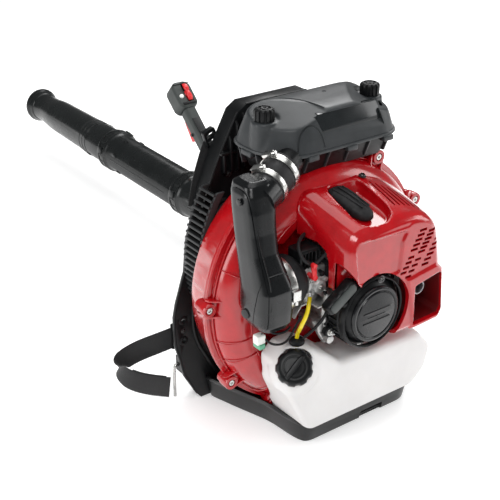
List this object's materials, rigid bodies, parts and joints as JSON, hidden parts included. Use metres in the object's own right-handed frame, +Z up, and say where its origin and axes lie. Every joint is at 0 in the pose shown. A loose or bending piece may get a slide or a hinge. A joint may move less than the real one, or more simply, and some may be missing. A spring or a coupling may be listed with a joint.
{
  "type": "backpack leaf blower",
  "caption": "Backpack leaf blower: two-stroke engine and fan in a round housing on a padded frame, with a swivelling tapered blower tube and a control handle.",
  "frame": {"origin": "on the flat underside of the base tray, in the vertical plane of the crankshaft, below the fan housing", "axes": "+Z up, +Y towards the operator's back and along the blower tube, -Y to the engine side, +X to the operator's right, where the blower tube is"},
  "size_m": [0.4708, 1.431, 0.4923],
  "materials": {
    "black_plastic": "moulded black nylon, fine grain",
    "grey_guard": "moulded grey plastic",
    "rubber_black": "black moulded rubber",
    "red_cover": "glossy red moulding",
    "red_housing": "glossy red moulding",
    "steel": "zinc-plated steel",
    "cast_aluminium": "die-cast aluminium, as cast",
    "fan_plastic": "glass-filled nylon",
    "muffler_steel": "pressed steel, heat-resistant black",
    "charcoal_plastic": "satin charcoal moulding",
    "badge_black": "satin black cap",
    "rope": "braided nylon cord",
    "tank_plastic": "translucent natural polyethylene",
    "fuel_hose_yellow": "yellow fuel line",
    "tube_plastic": "satin dark blow-moulded tube",
    "handle_plastic": "satin dark grip",
    "red_control": "red moulded control",
    "pad_fabric": "padded black fabric",
    "webbing": "woven black webbing"
  },
  "bodies": {
    "chassis": {"base_tray": "black_plastic", "back_frame": "black_plastic", "intake_guard": "grey_guard", "vibration_mounts": "rubber_black", "fan_housing_front": "red_housing", "fan_housing_rear": "red_housing", "housing_screws": "steel", "crankcase_rear": "cast_aluminium", "crankcase_front": "cast_aluminium", "bearings": "steel", "cylinder_barrel": "cast_aluminium", "spark_plug": "steel", "plug_cap": "rubber_black", "muffler": "muffler_steel", "insulator_block": "fan_plastic", "carburettor": "cast_aluminium", "heat_shield": "cast_aluminium", "air_cleaner_base": "black_plastic", "air_cleaner_cover": "charcoal_plastic", "air_filter": "black_plastic", "air_duct": "black_plastic", "intake_boots": "rubber_black", "hose_clamps": "steel", "engine_cover": "red_cover", "starter_housing": "black_plastic", "starter_badge": "badge_black", "fuel_tank": "tank_plastic", "tank_grommet": "rubber_black", "fuel_hose": "fuel_hose_yellow", "outlet_elbow": "tube_plastic", "bellows_rear": "rubber_black", "back_pad": "pad_fabric", "shoulder_straps": "pad_fabric", "lower_webbing": "webbing", "strap_hook": "steel"},
    "rotor": {"crankshaft": "steel", "fan_impeller": "fan_plastic", "flywheel": "cast_aluminium"},
    "piston_group": {"piston": "cast_aluminium"},
    "rope_reel": {"starter_reel": "fan_plastic"},
    "starter_pull": {"starter_rope": "rope", "starter_grip": "black_plastic"},
    "pipe_link": {"bellows_cuff": "black_plastic", "bellows_front": "rubber_black"},
    "pipe_collar": {"end_collar": "black_plastic"},
    "blower_pipe": {"swivel_tube": "tube_plastic", "middle_tube": "tube_plastic", "nozzle": "tube_plastic"},
    "control_handle": {"handle_clamp": "black_plastic", "handle_arm": "handle_plastic", "handle_head": "handle_plastic"},
    "trigger": {"throttle_trigger": "red_control"},
    "cruise": {"cruise_lever": "red_control"},
    "stop_button": {"stop_switch": "red_control"},
    "throttle_shaft": {"throttle_arm": "black_plastic"},
    "choke": {"choke_lever": "red_control"},
    "tank_cap": {"fuel_cap": "black_plastic"},
    "knob_left": {"cover_knob_left": "charcoal_plastic"},
    "knob_right": {"cover_knob_right": "charcoal_plastic"}
  },
  "joints": [
    {"name": "crank_turn", "type": "hinge", "parent": "chassis", "child": "rotor", "pos_m": [0, -0.11, 0.215], "axis": [0, 1, 0], "continuous": true},
    {"name": "piston_stroke", "type": "slide", "parent": "chassis", "child": "piston_group", "axis": [0, 0, 1], "range_m": [-0.034, 0]},
    {"name": "rope_pull", "type": "slide", "parent": "chassis", "child": "starter_pull", "axis": [-0.56, 0, 0.8285], "range_m": [0, 0.06], "stiffness_N_per_m": 60, "springref_m": -0.05},
    {"name": "reel_turn", "type": "hinge", "parent": "chassis", "child": "rope_reel", "pos_m": [0, -0.166, 0.215], "axis": [0, 1, 0], "range_deg": [0, 150]},
    {"name": "pipe_yaw", "type": "hinge", "parent": "chassis", "child": "pipe_link", "pos_m": [0.158, 0.12, 0.098], "axis": [0, 0, 1], "range_deg": [-24, 10], "deforming": ["bellows_rear"]},
    {"name": "pipe_pitch", "type": "hinge", "parent": "pipe_link", "child": "pipe_collar", "pos_m": [0.158, 0.228, 0.098], "axis": [1, 0, 0], "range_deg": [-20, 20], "deforming": ["bellows_front"]},
    {"name": "pipe_roll", "type": "hinge", "parent": "pipe_collar", "child": "blower_pipe", "pos_m": [0.158, 0.29, 0.098], "axis": [0, 1, 0], "range_deg": [-35, 35]},
    {"name": "handle_slide", "type": "slide", "parent": "blower_pipe", "child": "control_handle", "axis": [0, 1, 0], "range_m": [-0.03, 0.03]},
    {"name": "trigger_pull", "type": "hinge", "parent": "control_handle", "child": "trigger", "pos_m": [0.158, 0.5525, 0.2649], "axis": [1, 0, 0], "range_deg": [-14, 0], "stiffness_Nm_per_rad": 0.12, "springref_deg": 20.05},
    {"name": "throttle_turn", "type": "hinge", "parent": "chassis", "child": "throttle_shaft", "pos_m": [-0.066, -0.13, 0.284], "axis": [0, 1, 0], "range_deg": [-21, 0]},
    {"name": "cruise_set", "type": "hinge", "parent": "control_handle", "child": "cruise", "pos_m": [0.158, 0.5663, 0.30514], "axis": [1, 0, 0], "range_deg": [-20, 20]},
    {"name": "stop_press", "type": "slide", "parent": "control_handle", "child": "stop_button", "axis": [0, 0.6626, -0.749], "range_m": [0, 0.003], "stiffness_N_per_m": 900, "springref_m": -0.002},
    {"name": "choke_turn", "type": "hinge", "parent": "chassis", "child": "choke", "pos_m": [-0.084, -0.13, 0.284], "axis": [0, 1, 0], "range_deg": [0, 45]},
    {"name": "cap_turn", "type": "hinge", "parent": "chassis", "child": "tank_cap", "pos_m": [-0.117, -0.142, 0.149], "axis": [-0.4507, -0.6509, 0.6109], "range_deg": [0, 450]},
    {"name": "knob_left_turn", "type": "hinge", "parent": "chassis", "child": "knob_left", "pos_m": [-0.079, -0.018, 0.48], "axis": [0, 0, 1], "range_deg": [0, 720]},
    {"name": "knob_right_turn", "type": "hinge", "parent": "chassis", "child": "knob_right", "pos_m": [0.114, -0.018, 0.48], "axis": [0, 0, 1], "range_deg": [0, 720]}
  ],
  "couplings": [
    {"joint": "reel_turn", "follows": "rope_pull", "rad_per_m": 40.65},
    {"joint": "throttle_turn", "follows": "trigger_pull", "ratio": 1.5}
  ]
}
